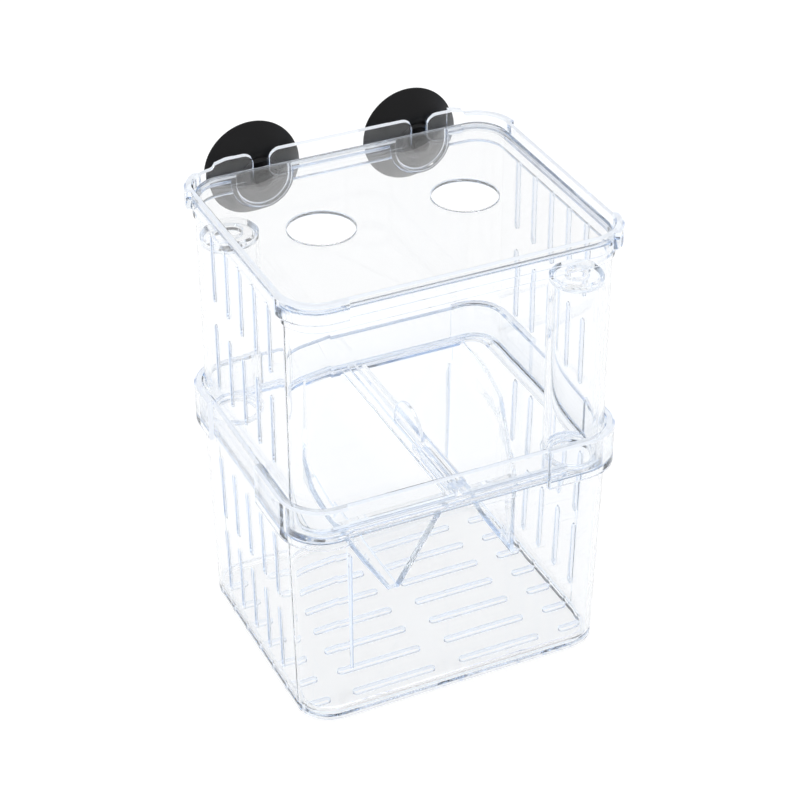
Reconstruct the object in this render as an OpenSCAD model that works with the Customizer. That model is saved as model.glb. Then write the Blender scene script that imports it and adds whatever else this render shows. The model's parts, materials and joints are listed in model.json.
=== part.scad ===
/* [Box bodies] */
// Width of the upper box's walls, outside, left to right
body_w = 126; // [112:1:160]
// Depth of the upper box's walls, outside, front to back
body_d = 104; // [94:1:140]
// Outside radius of the upper box's upright corners
corner_r = 12.5; // [9:0.5:18]
// Thickness of the walls of both boxes
wall = 2; // [1.6:0.1:3]
// Thickness of the floors of both boxes
floor_t = 2; // [1.6:0.1:3]
// Height of the upper box, from its underside to the ledge that the lid lies on
upper_h = 94.4; // [80:1:130]
// Height of the ledge inside the lower box that the upper box stands on
lower_h = 84.5; // [70:1:120]
// How far the lower box's walls stand outside the upper box's, whose edge they bear
lower_out = 1; // [0.6:0.1:1.2]
// How much each side of the lower box draws in from its ledge to its underside
draft = 2; // [0:0.5:3]
// Size of the bevel round the lower box's underside
foot_bevel = 1.2; // [0.4:0.2:2]
// Distance of each thin upright rib from the middle of its wall
rib_x = 44.5; // [20:0.5:48]
// Thickness of a rib, which stands half of this out of the wall's inner face
rib_t = 1.2; // [0.8:0.1:2]
// Length of a rib below the band
rib_h = 52; // [20:1:60]

/* [Rims] */
// How far the upper rim stands out from the walls
rim_proud = 1.85; // [1.7:0.05:3]
// Thickness of the upper rim above the lid's ledge
rim_wall = 1.7; // [1.3:0.1:1.7]
// How far the upper rim reaches below the lid's ledge
rim_drop = 3.1; // [2:0.1:6]
// How far the upper rim rises above the lid's ledge
rim_rise = 4.9; // [3:0.1:8]
// How far the bead under the upper rim stands out from the walls
bead_proud = 0.9; // [0.4:0.1:1.6]
// Height of the bead under the upper rim
bead_h = 4.3; // [2:0.1:6]
// How far the lip behind the cups rises above the upper rim
lip_rise = 2.9; // [1:0.1:5]
// Radius of the lip's rounded ends
lip_r = 4.3; // [1:0.1:5]
// Height of the lower box's band above its ledge
band_rise = 15.4; // [8:0.1:24]
// How far the lower box's band reaches below its ledge
band_drop = 1.6; // [1:0.1:4]
// Thickness of the lower box's band
band_wall = 2; // [1.4:0.1:3]
// How far the corner pads stand out from rim and band
pad_proud = 1.7; // [0.8:0.1:3]

/* [Lid] */
// Thickness of the lid
lid_t = 1.8; // [1.2:0.1:3]
// Diameter of each of the lid's two round feeding holes
lid_hole_d = 24.6; // [12:0.2:36]
// Distance between the centres of the lid's two holes
lid_hole_pitch = 56.5; // [44:0.5:64]
// How far the pair of holes lies off the lid's middle
lid_hole_shift = -2.75; // [-4:0.25:4]

/* [Suction cups] */
// Distance from a side wall to the axis of the cup nearest to it
cup_inset = 30.7; // [28:0.1:33]
// Diameter of a cup's rubber disc
cup_d = 38; // [30:1:44]
// Diameter of the neck that sits in the wall's slot
neck_d = 5.8; // [4.4:0.1:7]
// Diameter of the head inside the wall
head_d = 7.4; // [7:0.1:7.4]
// Length of the head inside the wall
head_l = 3.3; // [2.4:0.1:5]
// Diameter of the hub behind the wall
hub_d = 15; // [12:0.5:20]
// Distance from the hub's front to the cup's rim
cup_depth = 9.1; // [7.5:0.1:14]
// Depth of the hollow that grips the tank's glass
cup_hollow = 3.6; // [2:0.1:3.8]
// Radius of the rounded pocket that each head sits in
pocket_r = 10.8; // [8:0.1:12]
// Depth of a cup's axis below the lid's ledge
cup_drop = 4; // [4:0.1:8]

/* [Riser tubes] */
// Outside diameter of a riser tube
tube_d = 20.6; // [16:0.2:22]
// Wall of a riser tube
tube_wall = 1.5; // [1:0.1:2.5]
// Height of a riser tube above the floor
tube_h = 77; // [50:1:78]
// Thickness of a riser tube's top
tube_top_t = 3; // [2:0.1:5]
// Diameter of the hole for an air line in a riser tube's top
air_hole_d = 8; // [5:0.2:12]

/* [Fry troughs] */
// Width of the floor's edge that the troughs hang from, on the left and right
frame_w = 5; // [4:0.5:8]
// Width of the floor's edge that the troughs hang from, at front and rear
frame_d = 3; // [3:0.25:4]
// Thickness of a trough's flange and walls
sheet_t = 1.6; // [1.2:0.1:2.2]
// Depth of a trough below the floor's upper face
trough_depth = 35; // [20:0.5:37]
// Width of the slot along the bottom of a trough
fry_gap = 3; // [2:0.1:3.8]
// Distance of a trough's bottom from the middle of the box
trough_x = 25.6; // [22:0.2:29]
// Distance from the ridge at which a trough's cut corner begins, at its end
cut_x = 24; // [20:0.5:30]
// Distance from the side of a trough's mouth to the bend of its cut corner
cut_bend = 5.5; // [4:0.5:8]
// Width of the ridge that the two troughs make together
ridge_w = 6.8; // [6:0.1:9]
// Gap between the two troughs along the ridge
ridge_gap = 2; // [1.4:0.1:2.6]
// Width of the bar that lies on the ridge
bar_w = 8; // [6:0.1:11]
// Height of the bar that lies on the ridge
bar_h = 3.4; // [2:0.1:5]
// Radius of the bar's finger tab
tab_r = 12.6; // [9:0.1:16]
// Thickness of the bar's finger tab and web
tab_t = 1.5; // [1:0.1:2]

/* [Water slots] */
// Distance from one slot to the next, on walls and floor
slot_pitch = 13.2; // [11:0.1:16]
// Width of a slot in a side wall
wall_slot_w = 2.2; // [1.4:0.1:3]
// Height of a slot in a side wall
wall_slot_h = 28; // [16:1:30]
// Number of slots in each row on a side wall
wall_slots = 5; // [3:1:5]
// Width of a slot in the lower box's floor
floor_slot_w = 2.6; // [1.6:0.1:3.6]
// Number of rows of slots in the lower box's floor
floor_rows = 7; // [3:2:7]
// Length of the floor slots on each side of the middle
mid_slot = 34; // [20:1:36]
// Width of the plain strip between them
mid_strip = 11; // [8:0.5:14]
// Length of the short floor slots along the sides
end_slot = 9.5; // [5:0.5:10]
// Distance from a side wall's foot to the short slots
end_margin = 1.5; // [1:0.25:3]

/* [Fits] */
// Gap on each side of the upper box where it nests in the lower box's band
nest_gap = 0.4; // [0.2:0.05:0.8]
// Gap round the lid inside the rim
lid_gap = 0.35; // [0.2:0.05:0.8]
// Gap on each side of a cup's neck in its slot, and of the wall in its groove
neck_gap = 0.1; // [0.05:0.01:0.1]
// Gap between loose pieces that lie side by side
side_gap = 0.5; // [0.3:0.05:0.8]
// Gap between a riser tube and the walls beside it
tube_gap = 0.3; // [0.2:0.05:0.6]
// Gap between the troughs' flanges and the walls round them
tray_gap = 2; // [1.5:0.1:2.2]

/* [Hidden] */
$fn = 72;

// Heights
ledge_z = lower_h + upper_h;
floor_top = lower_h + floor_t;
rim_top = ledge_z + rim_rise;
rim_low = ledge_z - rim_drop;
bead_low = rim_low - bead_h;
band_top = lower_h + band_rise;
band_low = lower_h - band_drop;
tray_top = floor_top + sheet_t;
apex_z = floor_top - trough_depth;
cup_z = ledge_z - cup_drop;

// Plan sizes
rim_w = body_w + 2 * rim_proud;
rim_d = body_d + 2 * rim_proud;
rim_r = corner_r + rim_proud;
seat_w = rim_w - 2 * rim_wall;
seat_d = rim_d - 2 * rim_wall;
seat_r = rim_r - rim_wall;
inner_w = body_w - 2 * wall;
inner_d = body_d - 2 * wall;
inner_r = corner_r - wall;
band_in_w = body_w + 2 * nest_gap;
band_in_d = body_d + 2 * nest_gap;
band_in_r = corner_r + nest_gap;
band_out_w = band_in_w + 2 * band_wall;
band_out_d = band_in_d + 2 * band_wall;
band_out_r = band_in_r + band_wall;

lower_w = body_w + 2 * lower_out;
lower_d = body_d + 2 * lower_out;
lower_r = corner_r + lower_out;

// Corner pads, as the distances from the middle at which each pair starts
upper_pads = [[-1, -1, 44.4, 40], [1, 1, 44.4, 40], [1, -1, 58, 40], [-1, 1, 58, 40]];
lower_pads = [[-1, -1, 46.4, 16.8], [1, 1, 46.4, 16.8], [1, -1, 33.5, 28], [-1, 1, 33.5, 28]];

// Cups and their slots
cup_pitch = body_w - 2 * cup_inset;
wall_out_y = rim_d / 2;
wall_in_y = seat_d / 2;
slot_w = neck_d + 2 * neck_gap;
lid_d = seat_d - 2 * lid_gap;
lid_w = seat_w - 2 * lid_gap;
lip_half = body_w / 2 - corner_r + 1.5;

// Riser tubes stand in the rear left and front right corners
tube_x = inner_w / 2 - tube_gap - tube_d / 2;
tube_y = inner_d / 2 - tube_gap - tube_d / 2;
drain_d = tube_d - 2 * tube_wall - 2;

// Floor opening and trough outline
open_w = inner_w - 2 * frame_w;
open_d = inner_d - 2 * frame_d;
open_r = max(inner_r - 4.5, 4);
mouth_y = open_d / 2 - side_gap - sheet_t;
tray_w = inner_w - 2 * tray_gap;
tray_d = inner_d - 2 * tray_gap;
tray_r = inner_r - tray_gap;
scallop_r = tube_d / 2 + side_gap;

// Outer faces of a trough's two slopes, seen from the front, from top to bottom
outer_top_x = inner_w / 2 - frame_w - 6.5;
bottom_half = fry_gap / 2 + 0.8;
outer_slope = [[-outer_top_x, tray_top], [-outer_top_x + 5.5, apex_z + 0.76 * trough_depth],
    [-outer_top_x + 11.5, apex_z + 0.45 * trough_depth], [-trough_x - bottom_half, apex_z]];
inner_slope = [[-ridge_w / 2, tray_top], [-ridge_w / 2 - 1.6, floor_top - 3],
    [-ridge_w / 2 - 6.4, apex_z + 0.63 * trough_depth], [-trough_x + bottom_half, apex_z]];

// The cut corner of a trough, whose outer face clears the riser tube beside it
cut_line = [[-cut_x, mouth_y + sheet_t], [-outer_top_x + cut_bend, -3],
    [-outer_top_x + sheet_t, -0.5 * mouth_y], [-outer_top_x, -mouth_y - sheet_t]];

// Floor slot columns of the lower box, as distance from the middle and length
foot_half = lower_w / 2 - draft - wall;
floor_cols = [[(mid_strip + mid_slot) / 2, mid_slot],
    [foot_half - end_margin - end_slot / 2, end_slot]];

// Rounded rectangle about the origin
module rounded_rect(w, d, r) {
    square([w - 2 * r, d], center = true);
    square([w, d - 2 * r], center = true);
    for (sx = [-1, 1], sy = [-1, 1])
        translate([sx * (w / 2 - r), sy * (d / 2 - r)]) circle(r);
}

// Flat plate with rounded upright corners, from height z0 to height z1
module slab(w, d, r, z0, z1) {
    translate([0, 0, z0]) linear_extrude(z1 - z0) rounded_rect(w, d, r);
}

// Rectangular ring of the given wall, from height z0 to height z1
module ring(w, d, r, t, z0, z1) {
    difference() {
        slab(w, d, r, z0, z1);
        slab(w - 2 * t, d - 2 * t, r - t, z0 - 1, z1 + 1);
    }
}

// Thicker stretches of a ring at its corners, reaching in as far as the ring's own wall
module corner_pads(w, d, r, t, z0, z1, pads) {
    intersection() {
        ring(w + 2 * pad_proud, d + 2 * pad_proud, r + pad_proud, pad_proud + t / 2, z0, z1);
        union() for (p = pads) {
            far_x = w;
            far_y = d;
            x0 = p[0] < 0 ? -far_x : p[2];
            y0 = p[1] < 0 ? -far_y : p[3];
            translate([x0, y0, z0 - 1]) cube([far_x - p[2], far_y - p[3], z1 - z0 + 2]);
        }
    }
}

// Slot with round ends, h high and w wide, along X through len, centred
module wall_slot(w, h, len) {
    rotate([90, 0, 90]) linear_extrude(len, center = true) {
        square([w, h - w], center = true);
        for (s = [-1, 1]) translate([0, s * (h - w) / 2]) circle(w / 2);
    }
}

// Rows of upright slots through both side walls
module side_slots(count, rows, reach) {
    for (z = rows, i = [0:count - 1], s = [-1, 1])
        translate([s * reach, (i - (count - 1) / 2) * slot_pitch, z])
            wall_slot(wall_slot_w, wall_slot_h, 6 * wall);
}

// U shape of radius r, open upwards, with its centre at the origin and cut off level at top
module u_shape(r, top) {
    intersection() {
        circle(r);
        translate([-r, -r]) square([2 * r, r + top]);
    }
    translate([-r, 0]) square([2 * r, top]);
}

// Extrudes a shape drawn in X and Z between two distances from front to back
module upright(y0, y1) {
    translate([0, y1, 0]) rotate([90, 0, 0]) linear_extrude(y1 - y0) children();
}

// Plate with its two upper corners rounded, drawn in X and Z
module lip_plate(x0, x1, z0, z1, r) {
    translate([x0, z0]) square([x1 - x0, z1 - z0 - r]);
    translate([x0 + r, z0]) square([x1 - x0 - 2 * r, z1 - z0]);
    for (x = [x0 + r, x1 - r]) translate([x, z1 - r]) circle(r);
}

// The two corners that hold riser tubes
module at_tubes() {
    for (s = [-1, 1]) translate([s * tube_x, -s * tube_y, 0]) children();
}

module upper_box() {
    cups = [-cup_pitch / 2, cup_pitch / 2];
    lip_ends = [-lip_half, cups[0] - slot_w / 2, cups[0] + slot_w / 2,
        cups[1] - slot_w / 2, cups[1] + slot_w / 2, lip_half];
    color([0.86, 0.92, 0.98, 0.4]) difference() {
        union() {
            ring(body_w, body_d, corner_r, wall, lower_h, ledge_z);
            difference() {
                slab(body_w - wall, body_d - wall, corner_r - wall / 2, lower_h, floor_top);
                difference() {
                    slab(open_w, open_d, open_r, lower_h - 1, floor_top + 1);
                    at_tubes() translate([0, 0, lower_h - 2]) cylinder(d = tube_d, h = floor_t + 4);
                }
            }
            ring(body_w + 2 * bead_proud, body_d + 2 * bead_proud, corner_r + bead_proud,
                bead_proud + wall / 2, bead_low, rim_low);
            ring(rim_w, rim_d, rim_r, rim_proud + wall / 2, rim_low, ledge_z);
            difference() {
                ring(rim_w, rim_d, rim_r, rim_wall, ledge_z, rim_top);
                translate([-lip_half, 0, ledge_z]) cube([2 * lip_half, rim_d, 2 * rim_rise]);
            }
            corner_pads(rim_w, rim_d, rim_r, rim_wall, rim_low, rim_top, upper_pads);
            upright(wall_in_y, wall_out_y) for (i = [0, 2, 4])
                lip_plate(lip_ends[i], lip_ends[i + 1], ledge_z, rim_top + lip_rise, lip_r);
            upright(body_d / 2 - wall / 2, wall_out_y) for (x = cups)
                translate([x, cup_z]) u_shape(pocket_r + rim_wall, cup_drop);
        }
        side_slots(wall_slots, [bead_low - wall_slot_h / 2 + 0.5, bead_low - 1.5 * wall_slot_h - 9.5],
            body_w / 2 - wall / 2);
        upright(inner_d / 2 - 1, wall_in_y) for (x = cups)
            translate([x, cup_z]) u_shape(pocket_r, cup_drop + 1);
        upright(inner_d / 2 - 1, wall_out_y + 1) for (x = cups)
            translate([x, cup_z]) u_shape(slot_w / 2, cup_drop + rim_rise);
        at_tubes() translate([0, 0, lower_h - 1]) cylinder(d = drain_d, h = floor_t + 2);
    }
}

// Solid of the lower box's outline drawn in by t, from its underside at z0 to its ledge
module lower_outline(t, z0, bevel) {
    r = lower_r - t;
    foot_w = lower_w - 2 * draft - 2 * t;
    foot_d = lower_d - draft - 2 * t;
    hull() {
        slab(foot_w - 2 * bevel, foot_d - 2 * bevel, r - bevel, z0, z0 + 0.01);
        slab(foot_w, foot_d, r, z0 + bevel, z0 + bevel + 0.01);
        slab(lower_w - 2 * t, lower_d - 2 * t, r, lower_h - 0.01, lower_h);
    }
}

module lower_box() {
    color([0.84, 0.91, 0.98, 0.4]) difference() {
        union() {
            difference() {
                lower_outline(0, 0, foot_bevel);
                lower_outline(wall, floor_t, foot_bevel / 2);
                translate([0, 0, lower_h - 1]) linear_extrude(2)
                    rounded_rect(lower_w - 2 * wall, lower_d - 2 * wall, lower_r - wall);
            }
            ring(band_out_w, band_out_d, band_out_r, band_wall, lower_h, band_top);
            ring(band_out_w, band_out_d, band_out_r, band_wall + nest_gap, band_low, lower_h);
            corner_pads(band_out_w, band_out_d, band_out_r, band_wall, band_low, band_top,
                lower_pads);
            for (s = [-1, 1])
                translate([s * rib_x - rib_t / 2, s * (lower_d / 2 - wall - draft / 2) - 1,
                    band_low - 8 - rib_h]) cube([rib_t, 2, rib_h]);
        }
        side_slots(wall_slots, [band_low - wall_slot_h / 2 - 8, band_low - 1.5 * wall_slot_h - 15],
            lower_w / 2 - wall / 2 - draft / 2);
        for (c = floor_cols, i = [0:floor_rows - 1], s = [-1, 1])
            translate([s * c[0], (i - (floor_rows - 1) / 2) * slot_pitch, 0])
                rotate([0, 90, 0]) wall_slot(floor_slot_w, c[1], 6 * floor_t);
    }
}

module lid() {
    color([0.9, 0.94, 0.97, 0.35]) difference() {
        slab(lid_w, lid_d, seat_r - lid_gap, ledge_z, ledge_z + lid_t);
        for (s = [-1, 1])
            translate([lid_hole_shift + s * lid_hole_pitch / 2, 0, ledge_z - 1])
                cylinder(d = lid_hole_d, h = lid_t + 2);
    }
}

// Unit vector from a to b, and the same turned a quarter to the left
function heading(a, b) = (b - a) / norm(b - a);
function turned(v) = [-v[1], v[0]];

// Points at distance t beside a line of points
function beside(p, t) = [for (i = [0:len(p) - 1])
    let (before = turned(heading(p[max(i - 1, 0)], p[max(i, 1)])),
        last = len(p) - 1,
        after = turned(heading(p[min(i, last - 1)], p[min(i + 1, last)])))
    p[i] + t * (before + after) / (1 + before * after)];
function backwards(p) = [for (i = [len(p) - 1:-1:0]) p[i]];

// What lies inside a trough's cut corner, drawn in by t from its ends and from the cut
module cut_plan(t) {
    y = mouth_y + sheet_t - t;
    line = beside(cut_line, t);
    intersection() {
        polygon(concat([[line[0][0] + (line[0][0] - line[1][0]), 2 * line[0][1] - line[1][1]]],
            line, [[-outer_top_x + t, -body_d], [body_w, -body_d], [body_w, body_d]]));
        translate([-body_w, -y]) square([2 * body_w, 2 * y]);
    }
}

// Flange, two slopes, end walls and the wall along the cut corner
module trough() {
    inner_face = beside(outer_slope, sheet_t);
    ridge_face = beside(inner_slope, -sheet_t);
    difference() {
        union() {
            difference() {
                intersection() {
                    slab(tray_w, tray_d, tray_r, floor_top, tray_top);
                    translate([-tray_w, -tray_d, floor_top])
                        cube([tray_w - ridge_gap / 2, 2 * tray_d, sheet_t]);
                }
                translate([0, 0, floor_top - 1]) linear_extrude(sheet_t + 2) intersection() {
                    cut_plan(sheet_t);
                    translate([-outer_top_x + sheet_t, -mouth_y])
                        square([outer_top_x - 2 * sheet_t - ridge_w / 2, 2 * mouth_y]);
                }
            }
            intersection() {
                upright(-mouth_y - sheet_t, mouth_y + sheet_t) intersection() {
                    union() {
                        polygon(concat(outer_slope, backwards(inner_face)));
                        polygon(concat(inner_slope, backwards(ridge_face)));
                    }
                    translate([-body_w / 2, apex_z]) square([body_w / 2, tray_top - apex_z]);
                }
                translate([0, 0, apex_z - 1]) linear_extrude(trough_depth + 9) cut_plan(0);
            }
            difference() {
                intersection() {
                    upright(-mouth_y - sheet_t, mouth_y + sheet_t)
                        polygon(concat(outer_slope, backwards(inner_slope)));
                    translate([0, 0, apex_z - 1]) linear_extrude(trough_depth + 9) cut_plan(0);
                }
                translate([0, 0, apex_z - 2]) linear_extrude(trough_depth + 11) cut_plan(sheet_t);
            }
        }
        translate([-tube_x, tube_y, floor_top - 1]) cylinder(r = scallop_r, h = sheet_t + 2);
        translate([-trough_x - fry_gap / 2, -mouth_y, apex_z - 1])
            cube([fry_gap, 1.7 * mouth_y, 2 * sheet_t]);
    }
}

module trough_left() {
    color([0.8, 0.86, 0.92, 0.45]) trough();
}

module trough_right() {
    color([0.8, 0.86, 0.92, 0.45]) rotate([0, 0, 180]) trough();
}

// Bar along the front half of the ridge, with a web between the troughs and a finger tab
module ridge_bar() {
    tab_y = -6;
    web_drop = 5;
    front_y = -mouth_y;
    back_y = tab_y - tab_r + 2;
    color([0.78, 0.85, 0.93, 0.5]) {
        translate([-bar_w / 2, front_y, tray_top]) cube([bar_w, back_y - front_y, bar_h]);
        translate([-tab_t / 2, front_y, tray_top - web_drop])
            cube([tab_t, back_y - front_y, web_drop + bar_h]);
        translate([tab_t / 2, tab_y, tray_top]) rotate([0, -90, 0]) linear_extrude(tab_t)
            intersection() {
                circle(tab_r);
                translate([-sheet_t, -tab_r]) square([2 * tab_r, 2 * tab_r]);
            }
    }
}

// Tube with a thick top that has a hole for an air line
module riser_tube() {
    color([0.82, 0.88, 0.95, 0.45]) translate([0, 0, floor_top]) difference() {
        cylinder(d = tube_d, h = tube_h);
        translate([0, 0, -1]) cylinder(d = tube_d - 2 * tube_wall, h = tube_h - tube_top_t + 1);
        translate([0, 0, tube_h - tube_top_t - 1]) cylinder(d = air_hole_d, h = tube_top_t + 2);
    }
}

module riser_tube_rear() {
    translate([-tube_x, tube_y, 0]) riser_tube();
}

module riser_tube_front() {
    translate([tube_x, -tube_y, 0]) riser_tube();
}

// Points of a quarter wave from a to b, level at a
function flare(a, b, n) = [for (i = [0:n]) let (u = i / n)
    [a[0] + (b[0] - a[0]) * u, a[1] + (b[1] - a[1]) * (1 - cos(90 * u))]];

// Rubber cup turned about its axis: head, neck, hub and dished disc, drawn as [radius, depth]
module suction_cup() {
    hub_y = rim_wall + 2 * neck_gap;
    edge_t = 0.8;
    rim_y = hub_y + cup_depth;
    outline = concat([[0, -head_l], [head_d / 2 - 1.4, -head_l], [head_d / 2, 0.6 - head_l],
        [head_d / 2, 0], [neck_d / 2, 0], [neck_d / 2, hub_y], [hub_d / 2, hub_y]],
        flare([hub_d / 2, hub_y + 1.4], [cup_d / 2, rim_y - edge_t], 8),
        [[cup_d / 2, rim_y]],
        backwards(flare([0, rim_y - cup_hollow], [cup_d / 2 - edge_t, rim_y], 8)));
    color([0.12, 0.12, 0.13]) translate([0, wall_in_y - neck_gap, cup_z])
        rotate([-90, 0, 0]) rotate_extrude() polygon(outline);
}

module suction_cup_left() {
    translate([-cup_pitch / 2, 0, 0]) suction_cup();
}

module suction_cup_right() {
    translate([cup_pitch / 2, 0, 0]) suction_cup();
}

lower_box();
upper_box();
lid();
trough_left();
trough_right();
ridge_bar();
riser_tube_rear();
riser_tube_front();
suction_cup_left();
suction_cup_right();
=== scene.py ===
# %% [markdown]
# # A clear fish breeding box
# The real object is a small nursery for young fish, moulded in clear polystyrene. A lower box
# holds the fry, an upper box nests in its band, two V troughs hang in the upper floor, a lid with
# two feeding holes lies inside the rim, and two black rubber cups hold it all on a tank's glass.
# Nearly all that the eye sees of such an object is its edges: the walls vanish, and only rims,
# fillets, slots and corners gather light. So each piece is built with the rounded edges that a
# mould leaves, as a closed solid, and the renderer bends the light through it.

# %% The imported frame
import json
import math

import bmesh
import bpy
import numpy as np
from mathutils import Matrix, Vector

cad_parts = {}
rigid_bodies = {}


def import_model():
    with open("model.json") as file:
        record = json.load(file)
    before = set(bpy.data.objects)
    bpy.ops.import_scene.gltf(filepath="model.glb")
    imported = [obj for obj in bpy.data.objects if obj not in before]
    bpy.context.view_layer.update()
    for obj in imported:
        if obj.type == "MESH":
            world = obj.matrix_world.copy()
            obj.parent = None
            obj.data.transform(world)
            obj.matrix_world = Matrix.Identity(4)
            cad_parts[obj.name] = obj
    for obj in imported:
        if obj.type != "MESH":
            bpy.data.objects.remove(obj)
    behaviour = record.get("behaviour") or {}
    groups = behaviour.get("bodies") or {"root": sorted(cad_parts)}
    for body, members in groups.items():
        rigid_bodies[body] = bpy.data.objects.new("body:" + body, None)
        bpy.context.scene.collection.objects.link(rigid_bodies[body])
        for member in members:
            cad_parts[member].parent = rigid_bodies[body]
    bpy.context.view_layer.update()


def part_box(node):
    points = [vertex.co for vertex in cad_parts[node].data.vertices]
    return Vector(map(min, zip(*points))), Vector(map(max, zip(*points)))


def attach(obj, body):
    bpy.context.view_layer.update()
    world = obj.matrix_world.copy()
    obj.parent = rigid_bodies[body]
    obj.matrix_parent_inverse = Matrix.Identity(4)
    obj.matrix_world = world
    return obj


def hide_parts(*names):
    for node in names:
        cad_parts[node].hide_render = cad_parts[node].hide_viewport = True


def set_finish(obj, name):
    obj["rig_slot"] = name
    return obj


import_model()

MM = 0.001

# %% [markdown]
# ## The camera
# The photograph looks down at the front left corner from a little over a metre away. Its lens
# and place were worked out from the box's own edges, so they are given as plain numbers. A camera
# in Blender looks along its own minus Z, so it is tipped up from straight down and then turned.

# %% Camera
LENS_MM = 106.0
CAMERA_PLACE = (-0.314502, -0.670579, 0.584807)
CAMERA_TURN = math.radians(25.08)
CAMERA_TILT = math.radians(33.26)
CAMERA_ROLL = math.radians(-0.19)

lens = bpy.data.cameras.new("camera")
lens.lens = LENS_MM
lens.sensor_width = 36.0
camera = bpy.data.objects.new("camera", lens)
camera.matrix_world = (
    Matrix.Translation(CAMERA_PLACE)
    @ Matrix.Rotation(-CAMERA_TURN, 4, "Z")
    @ Matrix.Rotation(math.pi / 2 - CAMERA_TILT, 4, "X")
    @ Matrix.Rotation(CAMERA_ROLL, 4, "Z")
)
bpy.context.scene.collection.objects.link(camera)
bpy.context.scene.camera = camera
print("camera", [round(v, 3) for v in camera.matrix_world.translation], "lens", LENS_MM, "mm")

# %% [markdown]
# ## Sizes from the frame
# The construction is already settled in the frame, so each main size is read from the box of a
# node and not typed again. What a box can't tell, such as a wall's thickness, is a named value.
# All of these are in millimetres, as a mould maker would write them.

# %% Sizes
def span(node):
    """Lowest and highest corner of a CAD node, in millimetres."""
    low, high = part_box(node)
    return np.array(low) / MM, np.array(high) / MM


WALL = 2.0
WIDER_THAN_DEEP = 22.0
RIM_BELOW_LEDGE = 3.1
BEAD_H = 4.3
BAND_BELOW_FLOOR = 1.6
LOWER_LOW, LOWER_HIGH = span("lower_box")
UPPER_LOW, UPPER_HIGH = span("upper_box")
LID_LOW, LID_HIGH = span("lid")
TUBE_LOW, TUBE_HIGH = span("riser_tube_rear")
CUP_LOW, CUP_HIGH = span("suction_cup_left")
TRAY_LOW, TRAY_HIGH = span("trough_left")
BAR_LOW, BAR_HIGH = span("ridge_bar")

PAD_PROUD = 1.7
RIM_PROUD = 1.85
BEAD_PROUD = 0.9
CORNER_R = 12.5
BODY_W = UPPER_HIGH[0] * 2 - 2 * (RIM_PROUD + PAD_PROUD)
BODY_D = BODY_W - WIDER_THAN_DEEP
LIP_RISE = 2.9
LIP_R = 4.3
LEDGE_Z = LID_LOW[2]
RIM_TOP = UPPER_HIGH[2] - LIP_RISE
RIM_LOW = LEDGE_Z - RIM_BELOW_LEDGE
BEAD_LOW = RIM_LOW - BEAD_H
UPPER_FOOT = UPPER_LOW[2]
FLOOR_TOP = UPPER_FOOT + WALL
BAND_TOP = LOWER_HIGH[2]
BAND_LOW = UPPER_FOOT - BAND_BELOW_FLOOR
TRAY_TOP = TRAY_HIGH[2]
APEX_Z = TRAY_LOW[2]
CUP_X = (CUP_LOW[0] + CUP_HIGH[0]) / 2
CUP_Z = (CUP_LOW[2] + CUP_HIGH[2]) / 2
TUBE_X = (TUBE_LOW[0] + TUBE_HIGH[0]) / 2
TUBE_Y = (TUBE_LOW[1] + TUBE_HIGH[1]) / 2
TUBE_R = (TUBE_HIGH[0] - TUBE_LOW[0]) / 2
SEAT = 0.04
print(f"walls {BODY_W:.1f} by {BODY_D:.1f}, ledge at {LEDGE_Z:.1f}, rim top at {RIM_TOP:.1f}")
print(f"cup axis at x {CUP_X:.2f}, z {CUP_Z:.2f}; tube axis at {TUBE_X:.2f}, {TUBE_Y:.2f}")

# %% [markdown]
# ## A profile with rounded corners
# Every moulded edge has a radius. A section is therefore written as a few corner points, each
# with its fillet, and one function puts an arc in place of each corner. Just beside each arc it
# leaves one more point, so that shading stays flat on the flats and turns only in the arc.
#
# It has a known fault. The way round, side, is the sign of a product that is zero at a right
# angle, so rounding decides it there: most square corners come out as a flat chamfer between the
# same two tangent points, and a few as an arc that turns to the wrong side. The vector from the
# centre to the arc's end, in place of to_next, would mend it. The upper box and the lid, where
# the outcome changed from run to run, ask for the chamfer by name.

# %% Fillets
ARC_STEPS = 5
REST = 0.12


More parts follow.
